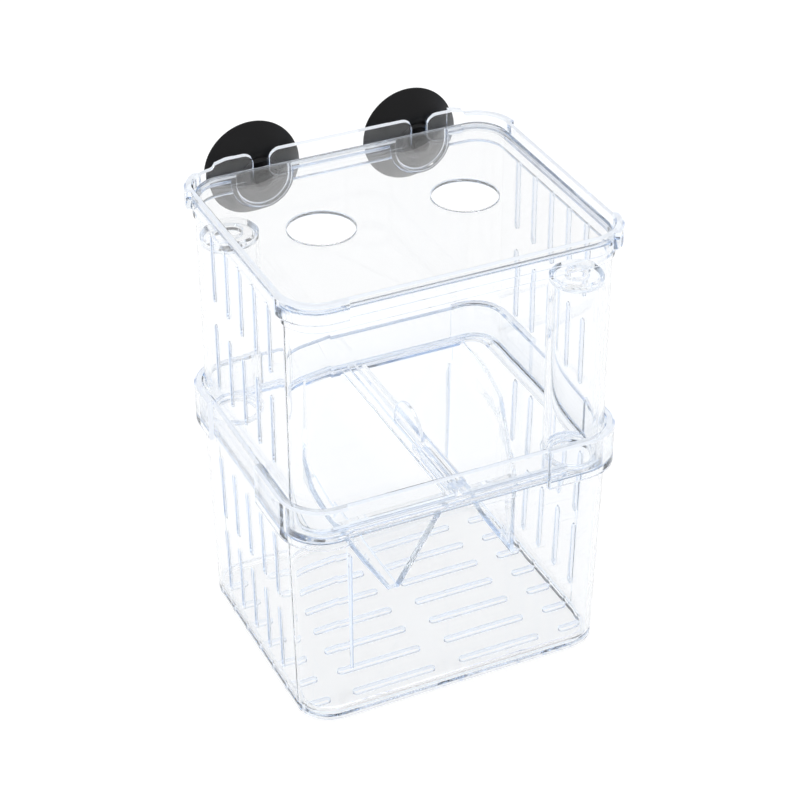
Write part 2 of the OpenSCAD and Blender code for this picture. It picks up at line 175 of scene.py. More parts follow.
def filleted(corners, closed=False, flat=False):
    """Polyline through (x, y, fillet) corners, meant to have an arc tangent to both sides at each.

    The tangent points lie fillet * tan(turn / 2) from the corner along each side. The arc's
    centre is on the bisector, fillet / cos(turn / 2) away, and the arc turns by the turn angle.
    With flat, each arc's points all lie at its start, which leaves a straight chamfer.
    """
    corners = np.array(corners, float)
    place = corners[:, :2]
    fillet = corners[:, 2].copy()
    if not closed:
        fillet[[0, -1]] = 0
    to_back = np.roll(place, 1, 0) - place
    to_next = np.roll(place, -1, 0) - place
    back_len = np.hypot(to_back[:, 0], to_back[:, 1])
    next_len = np.hypot(to_next[:, 0], to_next[:, 1])
    to_back /= back_len[:, None]
    to_next /= next_len[:, None]
    turn = math.pi - np.arccos(np.clip((to_back * to_next).sum(1), -1, 1))
    reach = fillet * np.tan(turn / 2)
    back_rest = np.minimum(REST, (back_len - reach - np.roll(reach, 1)) / 3)
    next_rest = np.minimum(REST, (next_len - reach - np.roll(reach, -1)) / 3)
    points = []
    for i in range(len(corners)):
        if fillet[i] == 0:
            points.append(place[i][None])
            continue
        bisector = to_back[i] + to_next[i]
        centre = place[i] + bisector / np.hypot(*bisector) * fillet[i] / math.cos(turn[i] / 2)
        start = place[i] + to_back[i] * reach[i] - centre
        side = 0 if flat else np.sign(start[0] * to_next[i][1] - start[1] * to_next[i][0])
        steps = max(2, round(ARC_STEPS * turn[i] / (math.pi / 2)) + 1)
        angle = side * np.linspace(0, turn[i], steps)
        arc = np.stack([
            start[0] * np.cos(angle) - start[1] * np.sin(angle),
            start[0] * np.sin(angle) + start[1] * np.cos(angle)], 1) + centre
        before = place[i] + to_back[i] * (reach[i] + max(back_rest[i], 0))
        after = place[i] + to_next[i] * (reach[i] + max(next_rest[i], 0))
        points += [before[None]] * (back_rest[i] > 0.001) + [arc]
        points += [after[None]] * (next_rest[i] > 0.001)
    return np.vstack(points)


square = filleted([(0, 0, 1), (9, 0, 1), (9, 9, 1), (0, 9, 1)], True)
print("a filleted square has", len(square), "points")

# %% [markdown]
# ## Outlines
# Three closed outlines carry all the sections here: the rounded rectangle of a box, the U of a
# cup's pocket, and the long hole of a water slot. Each is a formula in one running parameter, and
# growing an outline only makes its arcs larger, which is what an offset in a mould does.

# %% Outlines
CORNER_SIGNS = np.array([(1, -1), (1, 1), (-1, 1), (-1, -1)], float)


def rounded_outline(run, width, depth, radius):
    """Points and outward normals of a rounded rectangle, for run from 0 to 8.

    Whole numbers bound its eight parts. An even part is a straight side, where the point runs
    from one corner's centre to the next, moved out by the radius. An odd part is a corner, where
    the point is the centre plus radius times (cos, sin) of an angle that turns by 90 degrees.
    """
    part = np.floor(run).astype(int) % 8
    along = run - np.floor(run)
    side = part // 2
    straight = part % 2 == 0
    half = np.array([width / 2 - radius, depth / 2 - radius])
    centres = CORNER_SIGNS * half
    here = centres[side]
    before = centres[side - 1]
    centre = np.where(straight[:, None], before + (here - before) * along[:, None], here)
    angle = (side - 1) * math.pi / 2 + np.where(straight, 0, along * math.pi / 2)
    normal = np.stack([np.cos(angle), np.sin(angle)], 1)
    return centre + radius * normal, normal


def u_outline(radius, top, steps=28):
    """A half circle below the origin with two upright arms that end level at top."""
    angle = np.linspace(math.pi, 2 * math.pi, steps)
    arc = np.stack([radius * np.cos(angle), radius * np.sin(angle)], 1)
    return np.vstack([arc, [[radius, top], [-radius, top]]])


def slot_outline(half_width, half_length, steps=9):
    """A long hole along the second axis: two half circles joined by straight sides."""
    angle = np.linspace(0, math.pi, steps)
    cap = np.stack([half_width * np.cos(angle), half_width * np.sin(angle)], 1)
    upper = cap + [0, half_length - half_width]
    return np.vstack([upper, -upper])


def circle_outline(radius, steps=64):
    """Radius times (cos, sin) of equal steps of angle."""
    angle = np.linspace(0, 2 * math.pi, steps, endpoint=False)
    return np.stack([radius * np.cos(angle), radius * np.sin(angle)], 1)


print("slot outline:", slot_outline(1.1, 14).shape, "U outline:", u_outline(10.8, 4).shape)

# %% [markdown]
# ## From rings to a mesh
# A stack of rings with the same number of points is a grid, and a grid is a mesh: each cell
# between two rings is a quad. The first and last ring are closed with one flat face each, or
# joined to each other where the section itself is a loop. Arrays do all of it at once.

# %% Rings to faces
def quads(rows, columns, loop):
    """Corner numbers of the cells between rings; columns always close, rows only if loop."""
    row = np.arange(rows if loop else rows - 1)[:, None]
    column = np.arange(columns)[None, :]
    after = (column + 1) % columns
    above = (row + 1) % rows
    cells = np.stack([row * columns + column, row * columns + after,
                      above * columns + after, above * columns + column], 2)
    return cells.reshape(-1, 4)


def shell(rings, loop=False):
    """Vertices and faces of a stack of rings, an array of rows by columns by three."""
    rows, columns, _ = rings.shape
    faces = [tuple(cell) for cell in quads(rows, columns, loop).tolist()]
    if not loop:
        faces.append(tuple(range(columns - 1, -1, -1)))
        faces.append(tuple(range((rows - 1) * columns, rows * columns)))
    return rings.reshape(-1, 3), faces


def joined(shells):
    """Several shells as one list of vertices and faces, each face's numbers shifted."""
    vertices = []
    faces = []
    shift = 0
    for points, cells in shells:
        vertices.append(points)
        faces += [tuple(number + shift for number in cell) for cell in cells]
        shift += len(points)
    return np.vstack(vertices), faces


# %% Objects
def new_object(name, surface):
    """An object at the origin from vertices in millimetres, its faces turned outwards."""
    vertices, faces = surface
    mesh = bpy.data.meshes.new(name)
    mesh.from_pydata((vertices * MM).tolist(), [], faces)
    mesh.validate()
    made = bpy.data.objects.new(name, mesh)
    bpy.context.scene.collection.objects.link(made)
    outward(made)
    return made


def outward(made):
    """Recalculates the normals of a closed mesh so that its volume is positive."""
    work = bmesh.new()
    work.from_mesh(made.data)
    bmesh.ops.recalc_face_normals(work, faces=work.faces)
    if work.calc_volume(signed=True) < 0:
        bmesh.ops.reverse_faces(work, faces=work.faces)
    work.to_mesh(made.data)
    work.free()


# %% Straight and turned solids
def prism(outline, low, high, axes=(0, 1, 2), at=(0, 0, 0)):
    """An outline carried straight from low to high; axes say where its x, y and height go."""
    return lofted([outline, outline], [low, high], axes, at)


def lofted(outlines, heights, axes=(0, 1, 2), at=(0, 0, 0)):
    """Rings of one outline after another, each at its height, turned onto the given axes."""
    rings = np.zeros((len(outlines), len(outlines[0]), 3))
    for ring, outline, height in zip(rings, outlines, heights):
        ring[:, axes[0]] = outline[:, 0]
        ring[:, axes[1]] = outline[:, 1]
        ring[:, axes[2]] = height
    return shell(rings + np.array(at, float))


def spun(profile, steps=72, loop=False):
    """A profile of (radius, height) turned about Z: x = radius cos, y = radius sin."""
    angle = np.linspace(0, 2 * math.pi, steps, endpoint=False)
    radius = profile[:, 0][:, None]
    rings = np.stack([radius * np.cos(angle), radius * np.sin(angle),
                      np.broadcast_to(profile[:, 1][:, None], (len(profile), steps))], 2)
    return shell(rings, loop)


def moved(surface, by):
    """The same surface shifted by a vector in millimetres."""
    return surface[0] + np.array(by, float), surface[1]


def half_turned(surface):
    """The same surface turned by 180 degrees about Z: x and y change sign."""
    return surface[0] * [-1, -1, 1], surface[1]


# %% Joining and cutting
def combined(body, tool, operation):
    """The body's mesh after a boolean with the tool, which is then removed."""
    change = body.modifiers.new("change", "BOOLEAN")
    change.operation = operation
    change.solver = "MANIFOLD"
    change.object = tool
    bpy.context.view_layer.update()
    seen = body.evaluated_get(bpy.context.evaluated_depsgraph_get())
    mesh = bpy.data.meshes.new_from_object(seen)
    body.modifiers.remove(change)
    old = body.data
    name = old.name
    body.data = mesh
    bpy.data.meshes.remove(old)
    mesh.name = name
    old_tool = tool.data
    bpy.data.objects.remove(tool)
    bpy.data.meshes.remove(old_tool)
    return body


def cut(body, shells):
    """Takes the shells out of the body."""
    return combined(body, new_object("cutter", joined(shells)), "DIFFERENCE")


def add(body, shells):
    """Joins the shells to the body as one solid."""
    for one in shells:
        combined(body, new_object("addition", one), "UNION")
    return body


# %% Finishing a piece
SHARP = math.radians(35)
FLAT_FACES_FIRST = 80


def read(items, name, width=1, kind=float):
    """One named value of every item of a mesh as an array, a row per item if it has several."""
    values = np.zeros(len(items) * width, kind)
    items.foreach_get(name, values)
    return values.reshape(-1, width) if width > 1 else values


def finish(made, body, slot, *nodes):
    """Smooth shading that keeps flats flat, and the piece's place in the frame."""
    mesh = made.data
    mesh.polygons.foreach_set("use_smooth", np.ones(len(mesh.polygons), bool))
    mesh.set_sharp_from_angle(angle=SHARP)
    weighted = made.modifiers.new("flat_flats", "WEIGHTED_NORMAL")
    weighted.keep_sharp = True
    weighted.weight = FLAT_FACES_FIRST
    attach(made, body)
    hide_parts(*nodes)
    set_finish(made, slot)
    places = read(mesh.vertices, "co", 3)
    low, high = places.min(0) / MM, places.max(0) / MM
    print(f"{made.name}: {len(mesh.polygons)} faces, from {low.round(2)} to {high.round(2)}")
    return made


# %% [markdown]
# ## Where the rings have their points
# The rings of a box share one list of places round the outline, so a corner pad or a raised lip
# is only a number per place. The list is even along the sides and corners, with more places where
# a pad ends or a lip's shoulder curves.

# %% Stations
SIDE_STEPS = 24
CORNER_STEPS = 20
HALF_X = BODY_W / 2 - CORNER_R
HALF_Y = BODY_D / 2 - CORNER_R
PAD_EDGE = 0.45


def stations(front=(), right=(), rear=(), left=()):
    """Even places on each side and corner, and the places of the given x or y on each side."""
    sides = np.linspace(0, 1, SIDE_STEPS, endpoint=False)
    corners = np.linspace(0, 1, CORNER_STEPS, endpoint=False)
    runs = [sides + 2 * k for k in range(4)] + [corners + 2 * k + 1 for k in range(4)]
    runs.append((np.array(front) + HALF_X) / (2 * HALF_X))
    runs.append((np.array(right) + HALF_Y) / (2 * HALF_Y) + 2)
    runs.append((HALF_X - np.array(rear)) / (2 * HALF_X) + 4)
    runs.append((HALF_Y - np.array(left)) / (2 * HALF_Y) + 6)
    return np.unique(np.concatenate(runs).round(5))


def step_up(value, start, width=PAD_EDGE):
    """Smoothstep: 0 before start, 1 after start + width, and 3u^2 - 2u^3 between."""
    u = np.clip((value - start) / width, 0, 1)
    return u * u * (3 - 2 * u)


def pads_at(points, pads):
    """How much of a pad there is at each point: 1 beyond both starts in a pad's own quarter."""
    amount = np.zeros(len(points))
    for sign_x, sign_y, start_x, start_y in pads:
        x = points[:, 0] * sign_x
        y = points[:, 1] * sign_y
        amount = np.maximum(amount, step_up(x, start_x) * step_up(y, start_y))
    return amount


PAD_PARTS = (-1.2, -1, -0.5, 0, 0.5, 1, 1.2)


def pad_ends(values):
    """Places just before, in and after each pad's end."""
    return [value + part * PAD_EDGE for value in values for part in PAD_PARTS]


# %% [markdown]
# ## The lower box
# It is a deep tub with a little draft, a slotted floor and a band round its top that holds the
# upper box. One section carried round the outline gives floor, wall, ledge and band at once, with
# all their fillets, so no seam shows in the clear plastic. The four thicker corners of the band
# are an extra offset where a pad lies. Slots are cut with flared cutters, which leaves their
# edges soft.

# %% A tub with pads
LOWER_OUT = 1.0
DRAFT_X = 2.0
DRAFT_Y = 1.0
BAND_OUT = 1.4
BAND_IN = -0.6
LOWER_PADS = [(-1, -1, 46.4, 16.8), (1, 1, 46.4, 16.8), (1, -1, 33.5, 28), (-1, 1, 33.5, 28)]
LOWER_W = BODY_W + 2 * LOWER_OUT
LOWER_D = BODY_D + 2 * LOWER_OUT
LOWER_R = CORNER_R + LOWER_OUT
LOWER_PADS_PAST = 0.32
PAD_SOFT = 0.05


def tub(profile, run, pads, pad_low, drafted):
    """Rings of a (grow, z) section round the outline; pads stand out where grow passes pad_low."""
    reference, _ = rounded_outline(run, LOWER_W, LOWER_D, LOWER_R)
    pad = pads_at(reference, pads)
    rings = []
    for grow, z in profile:
        lean = (1 - min(z, UPPER_FOOT) / UPPER_FOOT) if drafted else 0
        base = LOWER_OUT if drafted else 0
        width = BODY_W + 2 * (base + grow - DRAFT_X * lean)
        depth = BODY_D + 2 * (base + grow - DRAFT_Y * lean)
        points, normals = rounded_outline(run, width, depth, CORNER_R + base + grow)
        weight = np.clip((grow - pad_low) / PAD_SOFT, 0, 1)
        points = points + normals * (pad * weight * PAD_PROUD)[:, None]
        rings.append(np.column_stack([points, np.full(len(run), z)]))
    return np.array(rings)


# %% Slot cutters
FLARE = [(1.3, -0.25), (0.5, 0.134), (0.134, 0.5), (0.0, 1.1)]


def flared(outline_of, low, high, soft, axes, at):
    """A through cutter that widens at both faces.

    FLARE gives the curve as pairs of how much wider and how deep, both times soft. Each outline
    is the plain one grown by its pair's first number, and the ends go 4 mm past the faces.
    """
    rows = [(soft * 1.3, low - 4)] + [(soft * g, low + soft * h) for g, h in FLARE]
    rows += [(soft * g, high - soft * h) for g, h in FLARE[::-1]] + [(soft * 1.3, high + 4)]
    return lofted([outline_of(grow) for grow, _ in rows], [h for _, h in rows], axes, at)


SLOT_PITCH = 13.2
SLOT_HALF_W = 1.1
SLOT_HALF_L = 14.0
SLOTS_IN_ROW = 5
SOFT = 0.35


def side_slots(row_heights, face_x):
    """Flared cutters for the upright slots, in rows on both side walls."""
    cutters = []
    for z in row_heights:
        for i in range(SLOTS_IN_ROW):
            y = (i - (SLOTS_IN_ROW - 1) / 2) * SLOT_PITCH
            for sign in (-1, 1):
                x_low, x_high = sorted((sign * face_x(z), sign * (face_x(z) - WALL)))
                cutters.append(flared(
                    lambda grow: slot_outline(SLOT_HALF_W + grow, SLOT_HALF_L + grow),
                    x_low, x_high, SOFT, (1, 2, 0), (0, y, z)))
    return cutters


# %% Lower box
lower_profile = filleted([
    (-7, 0, 0), (0, 0, 1.4), (0, BAND_LOW, 0.3), (BAND_OUT, BAND_LOW, 0.5),
    (BAND_OUT, BAND_TOP, 0.75), (BAND_IN, BAND_TOP, 0.75), (BAND_IN, UPPER_FOOT - SEAT, 0.3),
    (-WALL, UPPER_FOOT - SEAT, 0.5), (-WALL, WALL, 1.6), (-8.5, WALL, 0)])
lower_run = stations(front=pad_ends([-46.4, 33.5]), right=pad_ends([16.8, -28]),
                     rear=pad_ends([46.4, -33.5]), left=pad_ends([-16.8, 28]))
lower_box = new_object("lower_box_body", shell(tub(lower_profile, lower_run, LOWER_PADS,
                                                   LOWER_PADS_PAST, True)))

# %% Ribs and slots of the lower box
RIB_X = 44.5
RIB_HALF = 0.6
RIB_LOW = BAND_LOW - 60
RIB_HIGH = BAND_LOW - 8
rib_y = LOWER_D / 2 - WALL - DRAFT_Y
rib_outline = filleted([(-RIB_HALF, -1.2, 0.0), (RIB_HALF, -1.2, 0.0), (RIB_HALF, 1.0, 0.5),
                        (-RIB_HALF, 1.0, 0.5)], True)
rib = prism(rib_outline, RIB_LOW, RIB_HIGH, at=(-RIB_X, -rib_y, 0))
add(lower_box, [rib, half_turned(rib)])

LOWER_GAPS = (8, 15)
lower_rows = [BAND_LOW - SLOT_HALF_L - LOWER_GAPS[0], BAND_LOW - 3 * SLOT_HALF_L - LOWER_GAPS[1]]
cut(lower_box, side_slots(lower_rows, lambda z: LOWER_W / 2 - DRAFT_X * (1 - z / UPPER_FOOT)))

FLOOR_HALF_W = 1.3
FLOOR_ROWS = 7
MID_SLOT = 34.0
MID_STRIP = 11.0
END_SLOT = 9.5
END_X = LOWER_W / 2 - DRAFT_X - WALL - 1.5 - END_SLOT / 2
floor_cutters = []
for centre_x, length in (((MID_STRIP + MID_SLOT) / 2, MID_SLOT), (END_X, END_SLOT)):
    for i in range(FLOOR_ROWS):
        y = (i - (FLOOR_ROWS - 1) / 2) * SLOT_PITCH
        for sign in (-1, 1):
            floor_cutters.append(flared(
                lambda grow: slot_outline(FLOOR_HALF_W + grow, length / 2 + grow),
                0, WALL, SOFT, (1, 0, 2), (sign * centre_x, y, 0)))
cut(lower_box, floor_cutters)
finish(lower_box, "lower_box", "clear_box", "lower_box")

# %% [markdown]
# ## The upper box
# The upper box has the same make: one section with floor, wall, bead, rim, ledge and inner wall.
# Its rim rises behind the cups as a lip, whose rounded shoulders are a height per place: the top
# follows a quarter circle near each end of the lip and each slot. Behind each cup the wall has a
# rounded pocket with a boss outside, and an open slot for the cup's neck.

# %% The lip's height
UPPER_PADS = [(-1, -1, 44.4, 40), (1, 1, 44.4, 40), (1, -1, 58, 40), (-1, 1, 58, 40)]
SLOT_HALF = 3.0
LIP_HALF = BODY_W / 2 - CORNER_R + 1.5
CUPS = np.array([CUP_X, -CUP_X])
LIP_ENDS = np.array([[-LIP_HALF, CUPS[0] - SLOT_HALF], [CUPS[0] + SLOT_HALF, CUPS[1] - SLOT_HALF],
                     [CUPS[1] + SLOT_HALF, LIP_HALF]])


def lip_lift(x, y):
    """How far the rim's top rises at x on the rear side.

    Within the radius of a lip's end the top is lip_top - r + sqrt(r^2 - d^2), where d is how far
    the point lies beyond the shoulder's centre; elsewhere on a lip it is lip_top.
    """
    top = np.where(np.abs(x) > LIP_HALF, RIM_TOP, RIM_TOP + LIP_RISE - LIP_R)
    for start, end in LIP_ENDS:
        on_lip = (x >= start) & (x <= end)
        beyond = np.maximum(np.maximum(start + LIP_R - x, x - end + LIP_R), 0)
        height = RIM_TOP + LIP_RISE - LIP_R + np.sqrt(np.maximum(LIP_R ** 2 - beyond ** 2, 0))
        top = np.where(on_lip, height, top)
    lowest = np.where(np.abs(x) > LIP_HALF - LIP_R, RIM_TOP, 0)
    return np.where(y > 0, np.maximum(top, lowest) - RIM_TOP, 0)


# %% Upper box
UPPER_PADS_PAST = 0.92
TOP_ROWS_DEPTH = 0.9
shoulder = LIP_R * (1 - np.cos(np.linspace(0, math.pi / 2, 9)))
rear_places = np.concatenate([end + way * shoulder for end, way in
                              ((CUPS[0] - SLOT_HALF, -1), (CUPS[0] + SLOT_HALF, 1),
                               (CUPS[1] - SLOT_HALF, -1), (CUPS[1] + SLOT_HALF, 1))])
upper_run = stations(front=pad_ends([-44.4]), rear=np.append(rear_places, pad_ends([44.4])))
upper_profile = filleted([
    (-8, UPPER_FOOT, 0), (0, UPPER_FOOT, 0.7), (0, BEAD_LOW, 0.3), (BEAD_PROUD, BEAD_LOW, 0.4),
    (BEAD_PROUD, RIM_LOW, 0.3), (RIM_PROUD, RIM_LOW, 0.5), (RIM_PROUD, RIM_TOP, 0.7),
    (RIM_PROUD - 1.7, RIM_TOP, 0.7), (RIM_PROUD - 1.7, LEDGE_Z - SEAT, 0.25),
    (-WALL, LEDGE_Z - SEAT, 0.5), (-WALL, FLOOR_TOP - SEAT, 0.9), (-9, FLOOR_TOP - SEAT, 0)],
    flat=True)


def upper_rings():
    """The tub's rings, with the rows of the rim's top lifted by the lip's own height."""
    rings = tub(upper_profile, upper_run, UPPER_PADS, UPPER_PADS_PAST, False)
    reference, _ = rounded_outline(upper_run, BODY_W + 2 * RIM_PROUD, BODY_D + 2 * RIM_PROUD,
                                   CORNER_R + RIM_PROUD)
    lift = lip_lift(reference[:, 0], reference[:, 1])
    top_rows = upper_profile[:, 1] > RIM_TOP - TOP_ROWS_DEPTH
    rings[top_rows, :, 2] += lift
    return rings


upper_box = new_object("upper_box_body", shell(upper_rings()))

# %% Cup pockets and neck slots
POCKET_R = 10.8
BOSS_R = POCKET_R + 1.7
CUP_DROP = LEDGE_Z - CUP_Z
POCKET_Y = BODY_D / 2 + RIM_PROUD - 1.7
BOSS_Y = BODY_D / 2 + RIM_PROUD
boss_rows = [(0, BODY_D / 2 - 1), (0, BOSS_Y - 0.6), (-0.1, BOSS_Y - 0.25), (-0.35, BOSS_Y - 0.03)]
bosses = [lofted([u_outline(BOSS_R + g, CUP_DROP - 0.3) for g, _ in boss_rows],
                 [h for _, h in boss_rows], (0, 2, 1), (x, 0, CUP_Z)) for x in CUPS]
add(upper_box, bosses)
pocket_rows = [(0.45, BODY_D / 2 - WALL - 3), (0.45, BODY_D / 2 - WALL - 0.1),
               (0.13, BODY_D / 2 - WALL + 0.1), (0.0, BODY_D / 2 - WALL + 0.4),
               (0.0, POCKET_Y - 0.5), (-0.13, POCKET_Y - 0.18), (-0.5, POCKET_Y)]
pockets = [lofted([u_outline(POCKET_R + g, CUP_DROP + 0.6) for g, _ in pocket_rows],
                  [h for _, h in pocket_rows], (0, 2, 1), (x, 0, CUP_Z)) for x in CUPS]
cut(upper_box, pockets)
neck_slots = [flared(lambda grow: u_outline(SLOT_HALF + grow, 20), POCKET_Y, BOSS_Y, 0.3,
                     (0, 2, 1), (x, 0, CUP_Z)) for x in CUPS]
cut(upper_box, neck_slots)

# %% Slots and opening of the upper box
UPPER_GAPS = (-0.5, 9.5)
upper_rows = [BEAD_LOW - SLOT_HALF_L - UPPER_GAPS[0], BEAD_LOW - 3 * SLOT_HALF_L - UPPER_GAPS[1]]
cut(upper_box, side_slots(upper_rows, lambda z: BODY_W / 2))

OPEN_HALF = np.array([BODY_W / 2 - WALL - 5, BODY_D / 2 - WALL - 3])
OPEN_R = CORNER_R - WALL - 4.5


def opening_outline(grow):
    """The floor's opening: rounded at two corners, bitten by the tubes' discs at the others.

    One half is a rounded corner and a bite, an arc of the disc between the points where it
    crosses the two straight edges; the other half is the same turned by 180 degrees.
    """
    half = OPEN_HALF + grow
    radius = OPEN_R + grow
    bite = TUBE_R - grow
    angle = np.linspace(0, math.pi / 2, 10)
    corner = half - radius + radius * np.stack([np.cos(angle), np.sin(angle)], 1)
    centre = np.array([TUBE_X, TUBE_Y])
    start = math.asin((half[1] - TUBE_Y) / bite)
    end = -math.acos((-half[0] - TUBE_X) / bite)
    turn = np.linspace(start, end, 22)
    bitten = centre + bite * np.stack([np.cos(turn), np.sin(turn)], 1)
    one = np.vstack([corner, bitten])
    return np.vstack([one, -one])


DRAIN_R = TUBE_R - 2.5
drains = [flared(lambda grow: circle_outline(DRAIN_R + grow, 48), UPPER_FOOT, FLOOR_TOP, 0.3,
                 (0, 1, 2), (sign * TUBE_X, sign * TUBE_Y, 0)) for sign in (1, -1)]
opening = flared(opening_outline, UPPER_FOOT, FLOOR_TOP - SEAT, 0.4, (0, 1, 2), (0, 0, 0))
cut(upper_box, [opening] + drains)
finish(upper_box, "upper_box", "clear_box", "upper_box")

# %% [markdown]
# ## The lid
# The lid is a loose clear plate with two round holes for feeding. A plate's own edge is what
# shows, so it is rounded all round, and the holes are cut with flared cutters that leave the same
# soft edge.

# %% Lid
LID_T = LID_HIGH[2] - LID_LOW[2]
LID_HOLE_R = 12.3
LID_HOLE_PITCH = 56.5
LID_HOLE_SHIFT = -2.75
LID_HALF = LID_HIGH[:2]
LID_R = 12.3
lid_profile = filleted([(-5, LID_LOW[2], 0), (0, LID_LOW[2], 0.5), (0, LID_HIGH[2], 0.5),
                        (-5, LID_HIGH[2], 0)], flat=True)
even_run = stations()
lid_rings = np.array([np.column_stack([
    rounded_outline(even_run, 2 * (LID_HALF[0] + g), 2 * (LID_HALF[1] + g), LID_R + g)[0],
    np.full(len(even_run), z)]) for g, z in lid_profile])
lid = new_object("lid_plate", shell(lid_rings))
holes = [flared(lambda grow: circle_outline(LID_HOLE_R + grow, 96), LID_LOW[2], LID_HIGH[2], 0.4,
                (0, 1, 2), (LID_HOLE_SHIFT + sign * LID_HOLE_PITCH / 2, 0, 0)) for sign in (-1, 1)]
cut(lid, holes)
finish(lid, "lid", "clear_lid", "lid")

# %% [markdown]
# ## The troughs
# Two V troughs hang side by side in the floor's opening. Fry slip through the slot along the
# bottom, where the mother can't follow. Each has a flat flange with a hollow corner that clears
# the tube beside it, a mouth, two slopes of thin sheet, two end walls, and one corner of the V cut
# off by an upright wall. Between the slopes the V is a rectangle at each height, so the solid is
# a stack of rectangles, and an upright cutter takes its corner off. The hollow is the same solid
# with every wall drawn in by the sheet's thickness. The second trough is the first turned round.

# %% Lines of the troughs
SHEET = 1.6
FRY_GAP = 3.0
BOTTOM_HALF = FRY_GAP / 2 + 0.8
TROUGH_X = 25.6
TRAY_R = CORNER_R - WALL - 2
RIDGE_HALF = 3.4
OUTER_TOP = BODY_W / 2 - WALL - 11.5
MOUTH_Y = OPEN_HALF[1] - 0.5 - SHEET
DEPTH = FLOOR_TOP - APEX_Z
OUTER_SLOPE = np.array([(-OUTER_TOP, TRAY_TOP), (-OUTER_TOP + 5.5, APEX_Z + 0.76 * DEPTH),
                        (-OUTER_TOP + 11.5, APEX_Z + 0.45 * DEPTH),
                        (-TROUGH_X - BOTTOM_HALF, APEX_Z)])
INNER_SLOPE = np.array([(-RIDGE_HALF, TRAY_TOP), (-RIDGE_HALF - 1.6, FLOOR_TOP - 3),
                        (-RIDGE_HALF - 6.4, APEX_Z + 0.63 * DEPTH),
                        (-TROUGH_X + BOTTOM_HALF, APEX_Z)])
CUT_LINE = np.array([(-24.0, MOUTH_Y + SHEET), (-OUTER_TOP + 5.5, -3.0),
                     (-OUTER_TOP + SHEET, -MOUTH_Y / 2), (-OUTER_TOP, -MOUTH_Y - SHEET)])


def beside(line, thickness):
    """The line moved to its left; at a bend by thickness over the cosine of half the turn."""
    along = np.diff(line, axis=0)
    along /= np.hypot(along[:, 0], along[:, 1])[:, None]
    normal = np.stack([-along[:, 1], along[:, 0]], 1)
    before = np.vstack([normal[:1], normal])
    after = np.vstack([normal, normal[-1:]])
    mean = (before + after) / (1 + (before * after).sum(1))[:, None]
    return line + thickness * mean


def arced(corners, radii, steps=7):
    """A convex outline, anticlockwise, with an arc of its own radius at each corner.

    The arc's centre is the corner less radius (n1 + n2) / (1 + n1.n2), where n1 and n2 are the
    outward normals of the sides before and after it, and its angle runs from n1 to n2.
    """
    side = np.roll(corners, -1, 0) - corners
    side /= np.hypot(side[:, 0], side[:, 1])[:, None]
    after = np.stack([side[:, 1], -side[:, 0]], 1)
    before = np.roll(after, 1, 0)
    centre = corners - radii[:, None] * (before + after) / (1 + (before * after).sum(1))[:, None]
    start = np.arctan2(before[:, 1], before[:, 0])
    turn = (np.arctan2(after[:, 1], after[:, 0]) - start) % (2 * math.pi)
    angle = (start[:, None] + turn[:, None] * np.linspace(0, 1, steps)).ravel()
    ring = np.stack([np.cos(angle), np.sin(angle)], 1)
    return np.repeat(centre, steps, 0) + np.repeat(radii, steps)[:, None] * ring


# %% The V
def vee(name, inset, low, high):
    """The V's solid from low to high, every wall drawn in by inset.

    At height z the left side is the outer slope's x and the right side the inner slope's x.
    """
    left = beside(OUTER_SLOPE, inset)[::-1]
    right = beside(INNER_SLOPE, -inset)[::-1]
    heights = np.union1d(left[:, 1], right[:, 1])
    heights = np.concatenate([[low], heights[(heights > low) & (heights < high)], [high]])
    end = MOUTH_Y + SHEET - inset
    rings = [np.array([(a, -end), (b, -end), (b, end), (a, end)])
             for a, b in zip(np.interp(heights, left[:, 1], left[:, 0]),
                             np.interp(heights, right[:, 1], right[:, 0]))]
    solid = new_object(name, lofted(rings, heights))
    keep = new_object(name + "_plan", prism(plan(inset), low - 9, high + 9))
    return combined(solid, keep, "INTERSECT")


def plan(inset):
    """What the upright cut leaves, seen from above: right of the line, drawn in by inset."""
    line = beside(CUT_LINE, inset)
    direction = line[0] - line[1]
    top = line[0] + direction * 0.5
    return np.vstack([top, line[1:], line[-1] - [0, 9], [9, line[-1, 1] - 9], [9, top[1]]])


# %% Troughs
def flange_outline(grow):
    """The flange's outline: wide arcs at the box's corners, narrow ones at the ridge."""
    x = -TRAY_LOW[0] + grow
    y = -TRAY_LOW[1] + grow
    corners = np.array([(-x, -y), (-1 + grow, -y), (-1 + grow, y), (-x, y)])
    return arced(corners, np.array([TRAY_R, 1.0, 1.0, TRAY_R]) + grow)


def trough(name):
    """Flange with its hollow corner, joined to the V's outside, less its hollow and its slot."""
    rows = filleted([(-0.9, FLOOR_TOP, 0), (0, FLOOR_TOP, 0.3), (0, TRAY_TOP, 0.5),
                     (-0.9, TRAY_TOP, 0)])
    made = new_object(name, lofted([flange_outline(grow) for grow in rows[:, 0]], rows[:, 1]))
    cut(made, [flared(lambda grow: circle_outline(TUBE_R + 0.5 + grow, 64), FLOOR_TOP, TRAY_TOP,
                      0.3, (0, 1, 2), (TUBE_X, TUBE_Y, 0))])
    combined(made, vee("vee", 0, APEX_Z, TRAY_TOP - 0.3), "UNION")
    combined(made, vee("hollow", SHEET, APEX_Z + 1.2, TRAY_TOP + 3), "DIFFERENCE")
    slot = arced(np.array([(-FRY_GAP / 2, -MOUTH_Y), (FRY_GAP / 2, -MOUTH_Y),
                           (FRY_GAP / 2, 0.7 * MOUTH_Y), (-FRY_GAP / 2, 0.7 * MOUTH_Y)]),
                 np.full(4, 0.8))
    cut(made, [prism(slot, APEX_Z - 1, APEX_Z + 2.2, at=(-TROUGH_X, 0, 0))])
    return made


trough_left = trough("trough_left_moulding")
trough_right = trough("trough_right_moulding")
trough_right.data.transform(Matrix.Rotation(math.pi, 4, "Z"))
finish(trough_left, "troughs", "clear_insert", "trough_left")
finish(trough_right, "troughs", "clear_insert", "trough_right")

